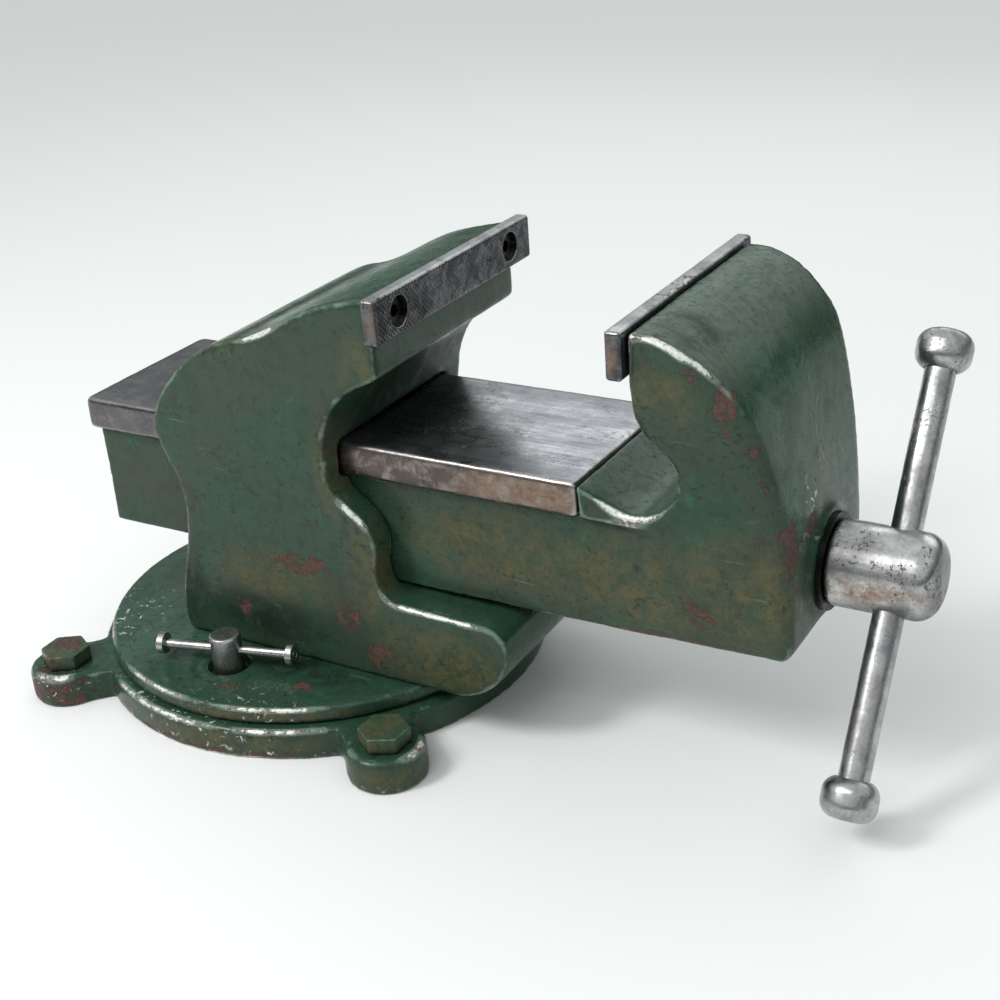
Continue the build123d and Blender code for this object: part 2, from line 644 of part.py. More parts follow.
def main():
    os.makedirs("parts", exist_ok=True)
    save("swivel_base", swivel_base())
    save("mounting_bolts", mounting_bolts())
    save("pivot_bolt", pivot_bolt())
    save("pivot_washer", pivot_washer())
    save("pivot_nut", pivot_nut())
    save("turntable", turntable())
    save("turntable_screws", turntable_screws())
    save("lock_nuts", [place * lock_nut() for place in lock_places().values()])
    for name, place in lock_places().items():
        save(f"lock_screw_{name}", lock_screw(place))
        save(f"lock_bar_{name}", lock_bar(place))
        save(f"lock_bar_caps_{name}", lock_bar_caps(place))
    save("fixed_body", fixed_body())
    save("rear_jaw_plate", jaw_plate(REAR_GRIP_X, -1))
    save("rear_jaw_screws", plate_screws(REAR_GRIP_X, -1))
    save("lead_nut", lead_nut())
    save("lead_nut_bolts", lead_nut_bolts())
    save("moving_jaw", moving_jaw())
    save("slide_plate", slide_plate())
    save("slide_plate_screws", slide_plate_screws())
    save("front_jaw_plate", jaw_plate(FRONT_GRIP_X, 1))
    save("front_jaw_screws", plate_screws(FRONT_GRIP_X, 1))
    save("screw_bush", screw_bush())
    save("thrust_washer", thrust_washer())
    save("lead_screw", lead_screw())
    save("screw_collar", screw_collar())
    save("collar_pin", collar_pin_solid(COLLAR_PIN_R))
    save("handle_bar", handle_bar())
    save("handle_knob_top", handle_knob(1))
    save("handle_knob_bottom", handle_knob(-1))


main()
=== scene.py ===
import json
import math

import bpy
import numpy as np
from mathutils import Matrix, Vector, noise

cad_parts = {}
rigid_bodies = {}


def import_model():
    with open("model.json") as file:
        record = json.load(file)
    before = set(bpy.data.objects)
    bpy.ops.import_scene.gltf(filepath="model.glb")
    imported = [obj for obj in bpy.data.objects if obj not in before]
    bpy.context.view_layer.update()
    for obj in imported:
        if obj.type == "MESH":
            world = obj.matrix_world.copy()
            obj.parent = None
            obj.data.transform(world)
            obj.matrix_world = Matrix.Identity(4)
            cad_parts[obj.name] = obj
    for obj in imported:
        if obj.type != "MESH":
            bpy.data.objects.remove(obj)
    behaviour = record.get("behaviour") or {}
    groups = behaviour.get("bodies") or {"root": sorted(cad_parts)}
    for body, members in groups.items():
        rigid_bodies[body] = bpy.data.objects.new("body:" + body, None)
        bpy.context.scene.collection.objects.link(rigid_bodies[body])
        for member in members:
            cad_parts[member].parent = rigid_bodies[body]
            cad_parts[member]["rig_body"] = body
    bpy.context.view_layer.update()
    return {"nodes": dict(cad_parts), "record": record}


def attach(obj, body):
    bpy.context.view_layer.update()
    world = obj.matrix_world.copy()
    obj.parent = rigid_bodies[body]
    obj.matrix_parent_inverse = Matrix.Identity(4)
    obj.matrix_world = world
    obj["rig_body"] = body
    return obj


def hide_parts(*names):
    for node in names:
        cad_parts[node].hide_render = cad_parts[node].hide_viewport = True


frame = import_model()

CAMERA_TARGET = Vector((0.1252, 0.0, 0.1109))
CAMERA_DISTANCE = 0.8357
CAMERA_AZIMUTH = math.radians(31.62)
CAMERA_ELEVATION = math.radians(25.69)
CAMERA_ROLL = math.radians(-4.35)
CAMERA_LENS = 57.07
SENSOR_WIDTH = 36.0
FLOOR_SIZE = 14.0
WORLD_STRENGTH = 0.80
LIGHTS = (                # name, place, point aimed at, width and height, watts, colour
    ("key", (-0.55, -0.95, 1.25), (0.08, 0, 0.1), (0.36, 0.54), 13.5, (1, 0.99, 0.975)),
    ("front", (0.20, -1.10, 1.50), (0.20, -1.00, 0), (0.9, 0.6), 5, (1, 0.99, 1)),
    ("back", (0.20, 1.25, 0.95), (0.15, 0, 0.15), (1.9, 0.5), 2.8, (0.97, 1, 1)),
)

CASTING_UNEVEN = ((0.0003, 26.0), (0.0001, 90.0))    # layers for roughen
JAW_UNEVEN = ((0.0005, 24.0), (0.0001, 90.0))
CASTING_CURVE = (5, 0.0005)    # rounds and full depth for save_curvature
THIN_CURVE = (5, 0.0004)
STEEL_CURVE = (8, 0.0004)
SMALL_CURVE = (6, 0.0002)
REAR_GRIP_X = 0.1105      # planes of the gripping faces
FRONT_GRIP_X = 0.2285
GRIP_FACE_REACH = 0.00035      # points nearer a gripping face than this are ridged
GRIP_FACE_FADE = 0.0001
KNURL_VOXEL = 0.00042
KNURL_PITCH = 0.0028      # distance between the ridges on the gripping faces
KNURL_DEPTH = 0.00036
RING_MARK_R = 0.0175      # rings that the lock bars' caps have worn round the posts
RING_MARK_WIDTH = 0.0022
RING_MARK_DEPTH = 0.0007
LOCK_POSTS = ((-0.003, -0.086), (-0.003, 0.086))


# ---------------------------------------------------------------- camera, lights and floor

def add_camera():
    """Camera at the photograph's angle, rolled a little about its own axis."""
    az, el, roll = CAMERA_AZIMUTH, CAMERA_ELEVATION, CAMERA_ROLL
    back = Vector((math.sin(az) * math.cos(el), -math.cos(az) * math.cos(el), math.sin(el)))
    right = Vector((math.cos(az), math.sin(az), 0.0))
    up = back.cross(right)
    cam_x = math.cos(roll) * right + math.sin(roll) * up
    cam_y = math.cos(roll) * up - math.sin(roll) * right
    turn = Matrix((cam_x, cam_y, back)).transposed().to_4x4()
    data = bpy.data.cameras.new("camera")
    data.lens = CAMERA_LENS
    data.sensor_width = SENSOR_WIDTH
    data.clip_start = 0.01
    camera = bpy.data.objects.new("camera", data)
    bpy.context.scene.collection.objects.link(camera)
    camera.matrix_world = Matrix.Translation(CAMERA_TARGET + back * CAMERA_DISTANCE) @ turn
    bpy.context.scene.camera = camera


def add_area_light(name, place, aim, size, power, colour):
    data = bpy.data.lights.new(name, "AREA")
    data.shape = "RECTANGLE"
    data.size, data.size_y = size
    data.energy = power
    data.color = colour
    light = bpy.data.objects.new(name, data)
    bpy.context.scene.collection.objects.link(light)
    direction = Vector(aim) - Vector(place)
    light.matrix_world = Matrix.Translation(place) @ direction.to_track_quat("-Z", "Y").to_matrix().to_4x4()


def add_world():
    """Studio surroundings: dim walls at the horizon and a pale ceiling overhead, with a faint cool tint."""
    world = bpy.data.worlds.new("studio")
    bpy.context.scene.world = world
    world.use_nodes = True
    tree = world.node_tree
    background = tree.nodes["Background"]
    coords = tree.nodes.new("ShaderNodeTexCoord")
    split = tree.nodes.new("ShaderNodeSeparateXYZ")
    ramp = tree.nodes.new("ShaderNodeValToRGB")
    tree.links.new(coords.outputs["Generated"], split.inputs[0])
    tree.links.new(split.outputs["Z"], ramp.inputs[0])
    tree.links.new(ramp.outputs[0], background.inputs["Color"])
    walls, ceiling = ramp.color_ramp.elements
    walls.position, walls.color = 0.16, (0.07, 0.077, 0.077, 1)
    ceiling.position, ceiling.color = 0.80, (0.95, 1.0, 0.985, 1)
    upper_walls = ramp.color_ramp.elements.new(0.36)
    upper_walls.color = (0.80, 0.85, 0.84, 1)
    background.inputs["Strength"].default_value = WORLD_STRENGTH


def add_floor():
    mesh = bpy.data.meshes.new("floor")
    s = FLOOR_SIZE / 2
    mesh.from_pydata([(-s, -s, 0), (s, -s, 0), (s, s, 0), (-s, s, 0)], [], [(0, 1, 2, 3)])
    floor = bpy.data.objects.new("floor", mesh)
    bpy.context.scene.collection.objects.link(floor)
    paper = Material("floor_paper")
    paper.set("Base Color", (0.87, 0.87, 0.875, 1))
    paper.set("Roughness", 0.8)
    mesh.materials.append(paper.material)


# ---------------------------------------------------------------- material tools

class Material:
    """A Principled material, with short calls for its procedural nodes."""

    def __init__(self, name):
        self.material = bpy.data.materials.new(name)
        self.material.use_nodes = True
        self.tree = self.material.node_tree
        self.shader = self.tree.nodes["Principled BSDF"]
        self.coords = self.tree.nodes.new("ShaderNodeTexCoord").outputs["Object"]

    def set(self, socket, value):
        self.shader.inputs[socket].default_value = value

    def link(self, source, target):
        self.tree.links.new(source, target)

    def put(self, source, socket):
        self.link(source, self.shader.inputs[socket])

    def place(self, stretch=(1, 1, 1), turn=(0, 0, 0), shift=(0, 0, 0)):
        """Object coordinates, stretched, turned and shifted."""
        node = self.tree.nodes.new("ShaderNodeMapping")
        node.inputs["Scale"].default_value = stretch
        node.inputs["Rotation"].default_value = turn
        node.inputs["Location"].default_value = shift
        self.link(self.coords, node.inputs["Vector"])
        return node.outputs[0]

    def noise(self, scale, detail=4.0, rough=0.55, warp=0.0, shift=None, vector=None):
        node = self.tree.nodes.new("ShaderNodeTexNoise")
        node.inputs["Scale"].default_value = scale
        node.inputs["Detail"].default_value = detail
        node.inputs["Roughness"].default_value = rough
        node.inputs["Distortion"].default_value = warp
        source = vector or (self.place(shift=shift) if shift else self.coords)
        self.link(source, node.inputs["Vector"])
        return node.outputs["Fac"]

    def attribute(self, name):
        node = self.tree.nodes.new("ShaderNodeAttribute")
        node.attribute_name = name
        return node.outputs["Fac"]

    def facing(self, axis):
        """Component of the surface's direction along an axis."""
        geometry = self.tree.nodes.new("ShaderNodeNewGeometry")
        split = self.tree.nodes.new("ShaderNodeSeparateXYZ")
        self.link(geometry.outputs["True Normal"], split.inputs[0])
        return split.outputs[axis]

    def height(self):
        split = self.tree.nodes.new("ShaderNodeSeparateXYZ")
        self.link(self.coords, split.inputs[0])
        return split.outputs["Z"]

    def maths(self, operation, a, b=0.0, c=0.0, clamp=False):
        node = self.tree.nodes.new("ShaderNodeMath")
        node.operation = operation
        node.use_clamp = clamp
        for socket, value in zip(node.inputs, (a, b, c)):
            if isinstance(value, (int, float)):
                socket.default_value = value
            else:
                self.link(value, socket)
        return node.outputs[0]

    def times(self, *values):
        total = values[0]
        for value in values[1:]:
            total = self.maths("MULTIPLY", total, value)
        return total

    def most(self, *values):
        total = values[0]
        for value in values[1:]:
            total = self.maths("MAXIMUM", total, value)
        return total

    def step(self, value, low, high, out_low=0.0, out_high=1.0):
        """Value scaled so that low gives out_low and high gives out_high, held at both ends."""
        node = self.tree.nodes.new("ShaderNodeMapRange")
        node.interpolation_type = "SMOOTHSTEP"
        node.inputs["From Min"].default_value = low
        node.inputs["From Max"].default_value = high
        node.inputs["To Min"].default_value = out_low
        node.inputs["To Max"].default_value = out_high
        self.link(value, node.inputs["Value"])
        return node.outputs[0]

    def zones(self, places):
        """1 inside soft ellipsoids, 0 outside. Each is (centre, half sizes) in metres."""
        masks = []
        for centre, size in places:
            node = self.tree.nodes.new("ShaderNodeMapping")
            node.vector_type = "TEXTURE"
            node.inputs["Location"].default_value = centre
            node.inputs["Scale"].default_value = size
            self.link(self.coords, node.inputs["Vector"])
            length = self.tree.nodes.new("ShaderNodeVectorMath")
            length.operation = "LENGTH"
            self.link(node.outputs[0], length.inputs[0])
            masks.append(self.step(length.outputs["Value"], 1.15, 0.35))
        return self.most(*masks)

    def mix(self, factor, a, b):
        node = self.tree.nodes.new("ShaderNodeMix")
        node.data_type = "RGBA"
        if isinstance(factor, (int, float)):
            node.inputs["Factor"].default_value = factor
        else:
            self.link(factor, node.inputs["Factor"])
        for socket, value in ((node.inputs[6], a), (node.inputs[7], b)):
            if isinstance(value, tuple):
                socket.default_value = (*value, 1)
            else:
                self.link(value, socket)
        return node.outputs[2]

    def bump(self, height, strength, distance, before=None):
        node = self.tree.nodes.new("ShaderNodeBump")
        node.inputs["Strength"].default_value = strength
        node.inputs["Distance"].default_value = distance
        self.link(height, node.inputs["Height"])
        if before is not None:
            self.link(before, node.inputs["Normal"])
        return node.outputs[0]

    def scratches(self, turn, shift, low=0.72, high=0.76):
        """Sparse thin lines in one direction."""
        lines = self.noise(1.0, 1.0, 0.5, vector=self.place((22.0, 800.0, 800.0), turn, shift))
        patches = self.noise(26.0, 2.0, 0.5, shift=shift)
        return self.times(self.step(lines, low, high), self.step(patches, 0.54, 0.66))

    def arcs(self, centre, shift):
        """Thin lines curving round a centre, in patches, as a wiping hand leaves them."""
        apart = self.tree.nodes.new("ShaderNodeVectorMath")
        apart.operation = "DISTANCE"
        self.link(self.coords, apart.inputs[0])
        apart.inputs[1].default_value = centre
        across = self.tree.nodes.new("ShaderNodeCombineXYZ")
        self.link(self.maths("MULTIPLY", apart.outputs["Value"], 900.0), across.inputs[0])
        self.link(self.noise(9.0, 2.0, 0.5, shift=shift), across.inputs[1])
        lines = self.noise(1.0, 2.0, 0.6, vector=across.outputs[0])
        patches = self.noise(30.0, 4.0, 0.6, 0.5, shift)
        return self.times(self.step(lines, 0.58, 0.70, 0.0, 0.7), self.step(patches, 0.50, 0.66))


# ---------------------------------------------------------------- paint

GREEN = (0.022, 0.060, 0.035)
GREY_GREEN = (0.032, 0.051, 0.032)
FRESH_GREEN = (0.022, 0.105, 0.048)
DARK_GREEN = (0.007, 0.019, 0.012)
PALE_GREEN = (0.22, 0.31, 0.26)
RUBBED_AND_SHEEN_GREEN = (0.060, 0.125, 0.092)
OCHRE = (0.088, 0.080, 0.035)
RED_PRIMER = (0.092, 0.030, 0.022)
RUST = (0.095, 0.060, 0.050)
BARE = (0.66, 0.70, 0.66)
BARE_DARK = (0.34, 0.31, 0.28)
GRIME_AND_SHADE = (0.006, 0.008, 0.006)
NOWHERE = [((0, 0, -1), (0.01, 0.01, 0.01))]


def green_paint(name, ochre=NOWHERE, primer=NOWHERE, worn_and_highlit=NOWHERE, rubbed_and_sheen=NOWHERE, soot_and_shade=NOWHERE,
                spotted=NOWHERE, wiped=(), foot=-1.0):
    """
    Worn green enamel. Stains, primer flecks and paler edges come up here and there by themselves,
    and strongly in the zones given: ochre stains, red primer, edge wear that also paints in
    highlights, paler patches of paint rubbing and painted sheen, black grime and painted shade,
    and bare metal spots. The paler edges are partly wear and partly painted highlight. wiped holds
    the centres of curved scratches. Hollows are darker, partly grime and partly painted shade, and
    the colour darkens towards the bottom below the height given as foot.
    """
    m = Material(name)
    patch = m.noise(24.0, 6.0, 0.62, 0.6)
    mottle = m.noise(120.0, 6.0, 0.70, 0.3)
    grain = m.noise(650.0, 4.0, 0.65)
    convex = m.attribute("convex")
    concave = m.attribute("concave")
    sideways = m.step(m.maths("ABSOLUTE", m.facing("Y")), 0.5, 0.9)

    grey = m.times(m.step(patch, 0.34, 0.60), sideways)
    colour = m.mix(grey, GREEN, GREY_GREEN)
    colour = m.mix(m.step(mottle, 0.46, 0.76, 0.0, 0.5), colour, DARK_GREEN)
    fresh_area = m.step(m.noise(16.0, 3.0, 0.6, 0.4, (3, 1, 2)), 0.46, 0.66)
    fresh = m.step(m.noise(120.0, 7.0, 0.70, 0.6, (6, 1, 2)), 0.56, 0.66)
    colour = m.mix(m.times(fresh, fresh_area, 0.75), colour, FRESH_GREEN)

    blotch = m.noise(60.0, 8.0, 0.72, 0.6, (7, 2, 5))
    free = m.step(m.noise(9.0, 3.0, 0.5, 0.4, (2, 4, 8)), 0.54, 0.74, 0.0, 0.45)
    stain = m.most(free, m.zones(ochre))
    speckle = m.noise(260.0, 6.0, 0.72, 0.4, (2, 9, 3))
    stain = m.times(stain, m.step(blotch, 0.38, 0.58, 0.2, 1.0), m.step(speckle, 0.42, 0.56, 0.35, 1.0))
    colour = m.mix(m.times(stain, 0.95), colour, OCHRE)

    # Paler patches: paint rubbing, and a painted sheen where they lie on the moving jaw's back.
    pale_and_sheen = m.times(m.zones(rubbed_and_sheen), m.step(blotch, 0.40, 0.58), m.step(mottle, 0.30, 0.60, 0.3, 1.0))
    upright = m.maths("SUBTRACT", 1.0, sideways)
    lines = m.most(
        m.scratches((0.2, 0.6, 0.1), (2, 3, 4)),
        m.scratches((0.4, -0.8, 0.9), (9, 1, 6)),
        m.scratches((1.3, 0.9, -0.5), (4, 7, 3)),
        *(m.times(m.arcs(centre, (i, 4, 2)), upright) for i, centre in enumerate(wiped)),
    )
    colour = m.mix(m.times(pale_and_sheen, 0.7), colour, RUBBED_AND_SHEEN_GREEN)
    colour = m.mix(m.times(lines, 0.30), colour, PALE_GREEN)

    ticks = m.step(m.noise(300.0, 4.0, 0.65, 0.6, (5, 1, 1)), 0.58, 0.64, 0.0, 0.75)
    tick_area = m.step(m.noise(20.0, 3.0, 0.6, 0.2, (1, 1, 7)), 0.42, 0.60, 0.2, 1.0)
    colour = m.mix(m.times(ticks, tick_area), colour, DARK_GREEN)
    # Dark patches: black grime, and painted shade where a zone lies in a shaded hollow.
    soot_and_shade_mask = m.times(m.zones(soot_and_shade), m.step(blotch, 0.36, 0.52))
    colour = m.mix(m.times(soot_and_shade_mask, 0.85), colour, DARK_GREEN)

    fleck = m.noise(85.0, 9.0, 0.80, 0.4, (1, 8, 4))
    area = m.step(m.noise(10.0, 2.0, 0.5, 0.0, (5, 5, 9)), 0.48, 0.64, 0.0, 0.080)
    reach = m.maths("ADD", fleck, m.most(area, m.times(m.zones(primer), 0.19)))
    flaked = m.step(reach, 0.655, 0.685)
    primer_colour = m.mix(m.step(grain, 0.42, 0.56), RED_PRIMER, RUST)
    colour = m.mix(m.times(flaked, 0.92), colour, primer_colour)

    # Paler and bared edges: partly edge wear, partly painted highlight. Convex edges are lightened, and the
    # zones given for edge wear paint the brightest highlights in as whitened paint and bare metal.
    ragged = m.maths("MULTIPLY_ADD", m.noise(95.0, 7.0, 0.72, 0.3, (4, 4, 4)), 1.8, -0.9)
    boost = m.maths("MULTIPLY_ADD", m.zones(worn_and_highlit), 0.75, -0.28)
    edge = m.times(m.maths("ADD", m.maths("ADD", convex, ragged), boost), m.step(convex, 0.15, 0.45))
    colour = m.mix(m.step(edge, 0.10, 0.60, 0.0, 0.55), colour, PALE_GREEN)
    chipped = m.step(edge, 0.62, 0.70)
    colour = m.mix(m.times(chipped, 0.85), colour, m.mix(m.step(grain, 0.4, 0.6), RUST, BARE_DARK))
    spots = m.times(m.step(m.noise(210.0, 5.0, 0.68, 0.5, (8, 2, 2)), 0.60, 0.64), m.zones(spotted))
    bared = m.most(m.step(edge, 0.80, 0.90), m.times(spots, 0.9))
    colour = m.mix(bared, colour, m.mix(m.step(grain, 0.30, 0.50), BARE_DARK, BARE))

    # Darker in hollows, partly grime and partly painted shade, and darker towards the bottom below foot.
    dirt_and_shade = m.times(m.step(concave, 0.10, 0.80), m.step(patch, 0.25, 0.6, 0.75, 1.0))
    dirt_and_shade = m.most(dirt_and_shade, m.step(m.height(), foot, foot + 0.0035, 0.9, 0.0))
    colour = m.mix(dirt_and_shade, colour, GRIME_AND_SHADE)
    m.put(colour, "Base Color")
    m.put(m.times(bared, 0.35), "Metallic")
    m.set("Specular IOR Level", 0.27)

    shine = m.step(m.noise(14.0, 4.0, 0.6, 0.4, (8, 8, 1)), 0.3, 0.7, 0.16, 0.30)
    shine = m.maths("ADD", shine, m.step(mottle, 0.35, 0.7, -0.03, 0.10))
    shine = m.maths("ADD", shine, m.times(convex, -0.08))
    shine = m.maths("ADD", shine, m.times(m.most(stain, m.times(pale_and_sheen, 0.6), soot_and_shade_mask), 0.20))
    shine = m.maths("ADD", shine, m.times(m.most(flaked, chipped), 0.28))
    shine = m.maths("ADD", shine, m.times(dirt_and_shade, 0.30), clamp=True)
    m.put(shine, "Roughness")

    relief = m.bump(m.noise(45.0, 3.0, 0.5), 0.30, 0.0012)
    relief = m.bump(m.noise(380.0, 4.0, 0.6), 0.22, 0.0002, relief)
    lost = m.most(flaked, chipped, m.times(lines, 0.5), m.times(ticks, 0.4))
    relief = m.bump(m.maths("SUBTRACT", 1.0, lost), 0.7, 0.0003, relief)
    m.put(relief, "Normal")
    return m.material


# ---------------------------------------------------------------- metals

STEEL_STAIN_AND_REFLECTION = (0.30, 0.20, 0.145)
STEEL_PIT = (0.045, 0.04, 0.038)
STEEL_POLISHED = (0.85, 0.85, 0.85)
STEEL_HOLLOW_DARK = (0.02, 0.02, 0.02)
STEEL_PAINTED_SHADE = (0.13, 0.125, 0.135)


def steel(name, light, dark, rough, side=None, streaks=0.3, pits=0.8, brown=0.2, brown_zones=NOWHERE,
          painted_shade_zones=NOWHERE, drag=1.0):
    """
    Bare steel between two tones, with faint brushing along X, pits and brown stains; the brown zones
    given can also paint in a reflection. side, if given, is the colour of the faces that don't face
    up. The dark zones given are painted shade, and hollows are made darker. A drag below 1 draws the
    smudges out along X.
    """
    m = Material(name)
    brushing = m.noise(1.0, 5.0, 0.6, vector=m.place((16.0, 900.0, 900.0)))
    smudge = m.noise(42.0, 7.0, 0.66, 0.5 * drag, vector=m.place((drag, 1, 1)))
    blotch = m.noise(110.0, 7.0, 0.70, 0.4, (4, 2, 7))
    grain = m.noise(700.0, 3.0, 0.6)
    convex = m.attribute("convex")
    concave = m.attribute("concave")

    tone = m.maths("ADD", m.step(smudge, 0.36, 0.64), m.step(brushing, 0.30, 0.70, -streaks, streaks))
    tone = m.maths("ADD", tone, m.step(grain, 0.3, 0.7, -0.2, 0.2), clamp=True)
    colour = m.mix(tone, light, dark)
    if side is not None:
        upward = m.step(m.facing("Z"), 0.5, 0.9)
        sides = m.mix(m.step(blotch, 0.38, 0.58), side, tuple(0.40 * v for v in side))
        colour = m.mix(upward, sides, colour)
    # Painted shade in the dark zones given.
    shaded = m.times(m.zones(painted_shade_zones), m.step(blotch, 0.3, 0.6, 0.8, 1.0))
    colour = m.mix(shaded, colour, STEEL_PAINTED_SHADE)
    stain_and_reflection = m.step(m.noise(18.0, 5.0, 0.6, 0.4, (2, 6, 1)), 0.50, 0.70, 0.0, brown)
    speckle = m.noise(330.0, 6.0, 0.75, 0.4, (6, 6, 2))
    patina_and_reflection = m.times(m.step(blotch, 0.36, 0.60), m.step(speckle, 0.38, 0.58, 0.3, 1.0))
    # Brown in the zones given: tarnish, and on the hub a painted reflection.
    stain_and_reflection = m.most(stain_and_reflection, m.times(m.zones(brown_zones), patina_and_reflection))
    colour = m.mix(stain_and_reflection, colour, STEEL_STAIN_AND_REFLECTION)

    specks = m.noise(560.0, 6.0, 0.72, 0.4, (4, 4, 8))
    clusters = m.noise(45.0, 5.0, 0.66, 0.4, (1, 9, 3))
    pocks = m.step(m.maths("ADD", specks, m.step(clusters, 0.40, 0.66, -0.08, 0.11)), 0.625, 0.665)
    pocks = m.times(pocks, pits)
    colour = m.mix(pocks, colour, STEEL_PIT)
    polished = m.times(m.step(convex, 0.20, 0.9, 0.0, 0.75), m.step(blotch, 0.36, 0.60, 0.35, 1.0))
    colour = m.mix(polished, colour, STEEL_POLISHED)
    # Darker in the hollows.
    colour = m.mix(m.step(concave, 0.2, 0.9, 0.0, 0.85), colour, STEEL_HOLLOW_DARK)
    m.put(colour, "Base Color")
    m.set("Metallic", 1.0)

    shine = m.step(smudge, 0.3, 0.7, rough - 0.05, rough + 0.12)
    shine = m.maths("ADD", shine, m.step(blotch, 0.3, 0.7, -0.05, 0.08))
    shine = m.maths("ADD", shine, m.times(pocks, 0.35))
    shine = m.maths("ADD", shine, m.times(stain_and_reflection, 0.15), clamp=True)
    m.put(shine, "Roughness")
    relief = m.bump(brushing, 0.5 * streaks, 0.0001)
    relief = m.bump(smudge, 0.22, 0.0009, relief)
    relief = m.bump(m.maths("SUBTRACT", 1.0, pocks), 0.7, 0.0003, relief)
    m.put(relief, "Normal")
    return m.material


def bronze(name):
    m = Material(name)
    tone = m.step(m.noise(60.0, 5.0, 0.6, 0.3), 0.3, 0.7)
    m.put(m.mix(tone, (0.05, 0.034, 0.018), (0.16, 0.10, 0.045)), "Base Color")
    m.set("Metallic", 1.0)
    m.put(m.step(m.noise(200.0, 4.0, 0.6), 0.3, 0.7, 0.35, 0.55), "Roughness")
    m.put(m.bump(m.noise(500.0, 4.0, 0.6), 0.3, 0.0002), "Normal")
    return m.material


# ---------------------------------------------------------------- mesh tools

def link_object(name, mesh):
    obj = bpy.data.objects.new(name, mesh)
    bpy.context.scene.collection.objects.link(obj)
    return obj


def remeshed(name, node, voxel):
    """Copy of a CAD node's shape as an even grid of small faces."""
    obj = link_object(name, frame["nodes"][node].data.copy())
    grid = obj.modifiers.new("grid", "REMESH")
    grid.mode = "VOXEL"
    grid.voxel_size = voxel
    graph = bpy.context.evaluated_depsgraph_get()
    mesh = bpy.data.meshes.new_from_object(obj.evaluated_get(graph))
    obj.modifiers.clear()
    obj.data = mesh
    return obj


def points_of(mesh):
    co = np.empty(len(mesh.vertices) * 3)
    mesh.vertices.foreach_get("co", co)
    return co.reshape(-1, 3)


def set_points(mesh, co):
    mesh.vertices.foreach_set("co", co.astype(np.float32).ravel())
    mesh.update()


def edges_of(mesh):
    pairs = np.empty(len(mesh.edges) * 2, np.int64)
    mesh.edges.foreach_get("vertices", pairs)
    return pairs.reshape(-1, 2)


def normals_of(mesh):
    out = np.empty(len(mesh.vertices) * 3, np.float32)
    mesh.vertices.foreach_get("normal", out)
    return out.reshape(-1, 3).astype(float)


def smoothed(co, edges, rounds, share=0.5):
    """Points moved towards the mean of their neighbours, which rounds edges and leaves flats alone."""
    count = np.bincount(edges.ravel(), minlength=len(co))[:, None]
    for _ in range(rounds):
        total = np.empty_like(co)
        for axis in range(3):
            total[:, axis] = np.bincount(edges[:, 0], co[edges[:, 1], axis], len(co))
            total[:, axis] += np.bincount(edges[:, 1], co[edges[:, 0], axis], len(co))
        co = co + share * (total / count - co)
    return co


def save_curvature(mesh, rounds, full_depth):
    """Stores how far each point stands out from, or lies in from, its smoothed surroundings."""
    co, edges = points_of(mesh), edges_of(mesh)
    lift = np.einsum("ij,ij->i", co - smoothed(co, edges, rounds), normals_of(mesh))
    for name, value in (("convex", lift), ("concave", -lift)):
        layer = mesh.attributes.new(name, "FLOAT", "POINT")
        layer.data.foreach_set("value", np.clip(value / full_depth, 0, 1).astype(np.float32))


def noise_field(co, scale, seed):
    """Smooth noise about 0 at each point, scale in waves per metre."""
    shift = Vector((seed * 7.31, seed * 3.17, seed * 5.77))
    return np.array([noise.noise(Vector(p) * scale + shift) for p in co])


def press_in(mesh, depth):
    """Moves each point inwards by its own depth."""
    set_points(mesh, points_of(mesh) - normals_of(mesh) * depth[:, None])


def roughen(mesh, layers):
    """Makes the surface uneven. Each layer is (depth in metres, waves per metre)."""
    co = points_of(mesh)
    depth = np.zeros(len(co))
    for seed, (most, scale) in enumerate(layers, 1):
        depth += most * np.clip(0.5 + 0.9 * noise_field(co, scale, seed), 0, 1)
    press_in(mesh, depth)


def nick_edges(mesh, most):
    """Small dents along the sharper edges."""
    convex = np.empty(len(mesh.vertices), np.float32)
    mesh.attributes["convex"].data.foreach_get("value", convex)
    dents = np.clip(noise_field(points_of(mesh), 260.0, 3) * 2.2 - 0.25, 0, 1)
    press_in(mesh, most * dents * np.clip(convex * 1.6, 0, 1))


def finish_piece(obj, material, node):
    obj.data.materials.clear()
    obj.data.materials.append(material)
    obj.data.polygons.foreach_set("use_smooth", [True] * len(obj.data.polygons))
    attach(obj, frame["nodes"][node]["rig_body"])
    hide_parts(node)


def ring_marks(mesh, centres, radius):
    """Shallow rings worn into an upward face round the given points."""
    co, up = points_of(mesh), np.clip(normals_of(mesh)[:, 2], 0, 1)
    depth = np.zeros(len(co))
    for x, y in centres:
        off = np.hypot(co[:, 0] - x, co[:, 1] - y) - radius
        depth += RING_MARK_DEPTH * up * np.exp(-(off / RING_MARK_WIDTH) ** 2)
    press_in(mesh, depth)


def cast_piece(node, material, voxel, rounds, curve, nick=0.0, uneven=(), rings=()):
    """
    A CAD node's shape with softened edges and an uneven, dented surface, standing for the node.
    voxel is its face size, rounds how far its edges are rounded, nick the depth of edge dents.
    """
    obj = remeshed(node + "_worn", node, voxel)
    mesh = obj.data
    set_points(mesh, smoothed(points_of(mesh), edges_of(mesh), rounds))
    save_curvature(mesh, *curve)
    if uneven:
        roughen(mesh, uneven)
    if nick:
        nick_edges(mesh, nick)
    if rings:
        ring_marks(mesh, rings, RING_MARK_R)
    finish_piece(obj, material, node)


